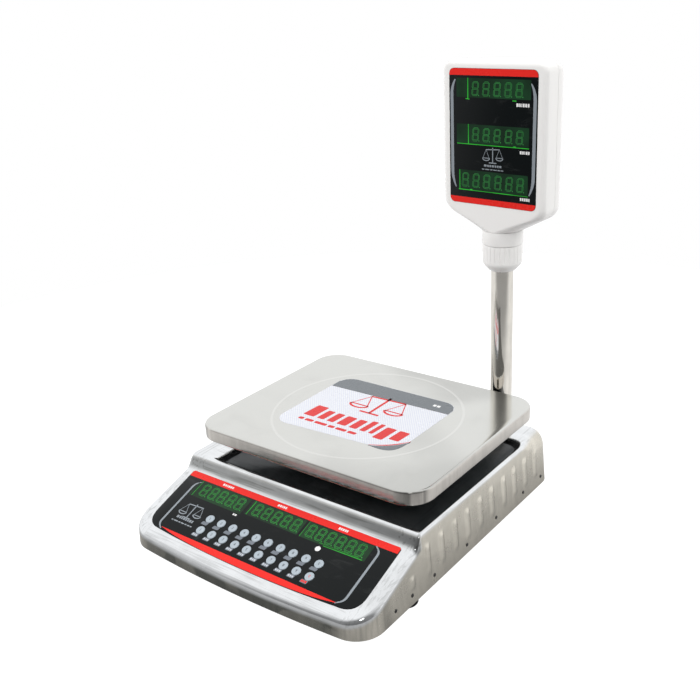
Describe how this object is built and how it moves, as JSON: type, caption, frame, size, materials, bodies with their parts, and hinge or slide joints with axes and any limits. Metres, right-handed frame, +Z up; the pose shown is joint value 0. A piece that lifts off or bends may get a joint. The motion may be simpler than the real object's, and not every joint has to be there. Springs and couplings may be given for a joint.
{
  "type": "retail price scale",
  "caption": "Counter scale with a stainless body and square platter, a sloped panel of displays and keys, and a customer display head on a pole at the rear right.",
  "frame": {"origin": "on the surface that the feet stand on, under the centre of the whole scale's box", "axes": "+Z up; -Y towards the operator, who faces the sloped panel; +X to the operator's right, the side of the pole"},
  "size_m": [0.319, 0.413, 0.4768],
  "materials": {
    "satin_steel": "satin polished stainless steel sheet",
    "chrome": "bright chrome plate",
    "zinc": "zinc plated steel",
    "aluminium": "machined aluminium, clear anodised",
    "black_paint": "semi-gloss black paint on pressed steel",
    "black_film": "glossy printed black polyester film",
    "black_plastic": "fine moulded black plastic",
    "white_plastic": "glossy white moulded ABS",
    "key_cap": "pale blue grey key cap",
    "display": "dark green display block",
    "board": "green glass-epoxy circuit board",
    "rubber": "soft black rubber",
    "battery": "dark grey battery case",
    "iron": "varnished laminated iron core"
  },
  "bodies": {
    "base": {"body_shell": "satin_steel", "base_plate": "zinc", "load_cell": "aluminium", "panel_film": "black_film", "panel_display_weight": "display", "panel_display_price": "display", "panel_display_total": "display", "panel_board": "board", "main_board": "board", "battery": "battery", "transformer": "iron", "power_inlet": "black_plastic", "switch_frame": "black_plastic", "pole": "chrome", "pole_bracket": "satin_steel"},
    "weighing_frame": {"spider_frame": "black_paint", "platter_cushion_1": "rubber", "platter_cushion_2": "rubber", "platter_cushion_3": "rubber", "platter_cushion_4": "rubber"},
    "platter": {"platter": "satin_steel"},
    "display_head": {"head_front_shell": "white_plastic", "head_rear_shell": "white_plastic", "head_collar": "white_plastic", "head_film": "black_film", "head_display_weight": "display", "head_display_price": "display", "head_display_total": "display", "head_board": "board"},
    "clamp_nut": {"clamp_nut": "white_plastic"},
    "power_rocker": {"power_rocker": "black_plastic"},
    "key_row1_01": {"key_row1_01": "key_cap"},
    "key_row1_02": {"key_row1_02": "key_cap"},
    "key_row1_03": {"key_row1_03": "key_cap"},
    "key_row1_04": {"key_row1_04": "key_cap"},
    "key_row1_05": {"key_row1_05": "key_cap"},
    "key_row1_06": {"key_row1_06": "key_cap"},
    "key_row1_07": {"key_row1_07": "key_cap"},
    "key_row1_08": {"key_row1_08": "key_cap"},
    "key_row1_09": {"key_row1_09": "key_cap"},
    "key_row1_10": {"key_row1_10": "key_cap"},
    "key_row2_01": {"key_row2_01": "key_cap"},
    "key_row2_02": {"key_row2_02": "key_cap"},
    "key_row2_03": {"key_row2_03": "key_cap"},
    "key_row2_04": {"key_row2_04": "key_cap"},
    "key_row2_05": {"key_row2_05": "key_cap"},
    "key_row2_06": {"key_row2_06": "key_cap"},
    "key_row2_07": {"key_row2_07": "key_cap"},
    "key_row2_08": {"key_row2_08": "key_cap"},
    "key_row2_09": {"key_row2_09": "key_cap"},
    "key_row2_10": {"key_row2_10": "key_cap"},
    "foot_front_left": {"foot_pad_front_left": "rubber", "foot_stud_front_left": "zinc"},
    "foot_front_right": {"foot_pad_front_right": "rubber", "foot_stud_front_right": "zinc"},
    "foot_rear_left": {"foot_pad_rear_left": "rubber", "foot_stud_rear_left": "zinc"},
    "foot_rear_right": {"foot_pad_rear_right": "rubber", "foot_stud_rear_right": "zinc"}
  },
  "joints": [
    {"name": "load_deflection", "type": "slide", "parent": "base", "child": "weighing_frame", "axis": [0, 0, 1], "range_m": [-0.0005, 0], "stiffness_N_per_m": 150000, "springref_m": 0.00015},
    {"name": "platter_lift", "type": "slide", "parent": "weighing_frame", "child": "platter", "axis": [0, 0, 1], "range_m": [0, 0.06]},
    {"name": "head_turn", "type": "hinge", "parent": "base", "child": "display_head", "pos_m": [0.0851, 0.1827, 0.3], "axis": [0, 0, 1], "range_deg": [-170, 170]},
    {"name": "nut_turn", "type": "hinge", "parent": "display_head", "child": "clamp_nut", "pos_m": [0.0851, 0.1827, 0.262], "axis": [0, 0, 1], "range_deg": [-330, 0]},
    {"name": "rocker_tilt", "type": "hinge", "parent": "base", "child": "power_rocker", "pos_m": [-0.038, 0.1665, 0.036], "axis": [0, 0, 1], "range_deg": [-24, 0]},
    {"name": "key_row1_01_press", "type": "slide", "parent": "base", "child": "key_row1_01", "axis": [0, 0.3295, -0.9441], "range_m": [0, 0.0005], "stiffness_N_per_m": 900},
    {"name": "key_row1_02_press", "type": "slide", "parent": "base", "child": "key_row1_02", "axis": [0, 0.3295, -0.9441], "range_m": [0, 0.0005], "stiffness_N_per_m": 900},
    {"name": "key_row1_03_press", "type": "slide", "parent": "base", "child": "key_row1_03", "axis": [0, 0.3295, -0.9441], "range_m": [0, 0.0005], "stiffness_N_per_m": 900},
    {"name": "key_row1_04_press", "type": "slide", "parent": "base", "child": "key_row1_04", "axis": [0, 0.3295, -0.9441], "range_m": [0, 0.0005], "stiffness_N_per_m": 900},
    {"name": "key_row1_05_press", "type": "slide", "parent": "base", "child": "key_row1_05", "axis": [0, 0.3295, -0.9441], "range_m": [0, 0.0005], "stiffness_N_per_m": 900},
    {"name": "key_row1_06_press", "type": "slide", "parent": "base", "child": "key_row1_06", "axis": [0, 0.3295, -0.9441], "range_m": [0, 0.0005], "stiffness_N_per_m": 900},
    {"name": "key_row1_07_press", "type": "slide", "parent": "base", "child": "key_row1_07", "axis": [0, 0.3295, -0.9441], "range_m": [0, 0.0005], "stiffness_N_per_m": 900},
    {"name": "key_row1_08_press", "type": "slide", "parent": "base", "child": "key_row1_08", "axis": [0, 0.3295, -0.9441], "range_m": [0, 0.0005], "stiffness_N_per_m": 900},
    {"name": "key_row1_09_press", "type": "slide", "parent": "base", "child": "key_row1_09", "axis": [0, 0.3295, -0.9441], "range_m": [0, 0.0005], "stiffness_N_per_m": 900},
    {"name": "key_row1_10_press", "type": "slide", "parent": "base", "child": "key_row1_10", "axis": [0, 0.3295, -0.9441], "range_m": [0, 0.0005], "stiffness_N_per_m": 900},
    {"name": "key_row2_01_press", "type": "slide", "parent": "base", "child": "key_row2_01", "axis": [0, 0.3295, -0.9441], "range_m": [0, 0.0005], "stiffness_N_per_m": 900},
    {"name": "key_row2_02_press", "type": "slide", "parent": "base", "child": "key_row2_02", "axis": [0, 0.3295, -0.9441], "range_m": [0, 0.0005], "stiffness_N_per_m": 900},
    {"name": "key_row2_03_press", "type": "slide", "parent": "base", "child": "key_row2_03", "axis": [0, 0.3295, -0.9441], "range_m": [0, 0.0005], "stiffness_N_per_m": 900},
    {"name": "key_row2_04_press", "type": "slide", "parent": "base", "child": "key_row2_04", "axis": [0, 0.3295, -0.9441], "range_m": [0, 0.0005], "stiffness_N_per_m": 900},
    {"name": "key_row2_05_press", "type": "slide", "parent": "base", "child": "key_row2_05", "axis": [0, 0.3295, -0.9441], "range_m": [0, 0.0005], "stiffness_N_per_m": 900},
    {"name": "key_row2_06_press", "type": "slide", "parent": "base", "child": "key_row2_06", "axis": [0, 0.3295, -0.9441], "range_m": [0, 0.0005], "stiffness_N_per_m": 900},
    {"name": "key_row2_07_press", "type": "slide", "parent": "base", "child": "key_row2_07", "axis": [0, 0.3295, -0.9441], "range_m": [0, 0.0005], "stiffness_N_per_m": 900},
    {"name": "key_row2_08_press", "type": "slide", "parent": "base", "child": "key_row2_08", "axis": [0, 0.3295, -0.9441], "range_m": [0, 0.0005], "stiffness_N_per_m": 900},
    {"name": "key_row2_09_press", "type": "slide", "parent": "base", "child": "key_row2_09", "axis": [0, 0.3295, -0.9441], "range_m": [0, 0.0005], "stiffness_N_per_m": 900},
    {"name": "key_row2_10_press", "type": "slide", "parent": "base", "child": "key_row2_10", "axis": [0, 0.3295, -0.9441], "range_m": [0, 0.0005], "stiffness_N_per_m": 900},
    {"name": "foot_front_left_height", "type": "slide", "parent": "base", "child": "foot_front_left", "axis": [0, 0, -1], "range_m": [0, 0.006]},
    {"name": "foot_front_right_height", "type": "slide", "parent": "base", "child": "foot_front_right", "axis": [0, 0, -1], "range_m": [0, 0.006]},
    {"name": "foot_rear_left_height", "type": "slide", "parent": "base", "child": "foot_rear_left", "axis": [0, 0, -1], "range_m": [0, 0.006]},
    {"name": "foot_rear_right_height", "type": "slide", "parent": "base", "child": "foot_rear_right", "axis": [0, 0, -1], "range_m": [0, 0.006]}
  ]
}
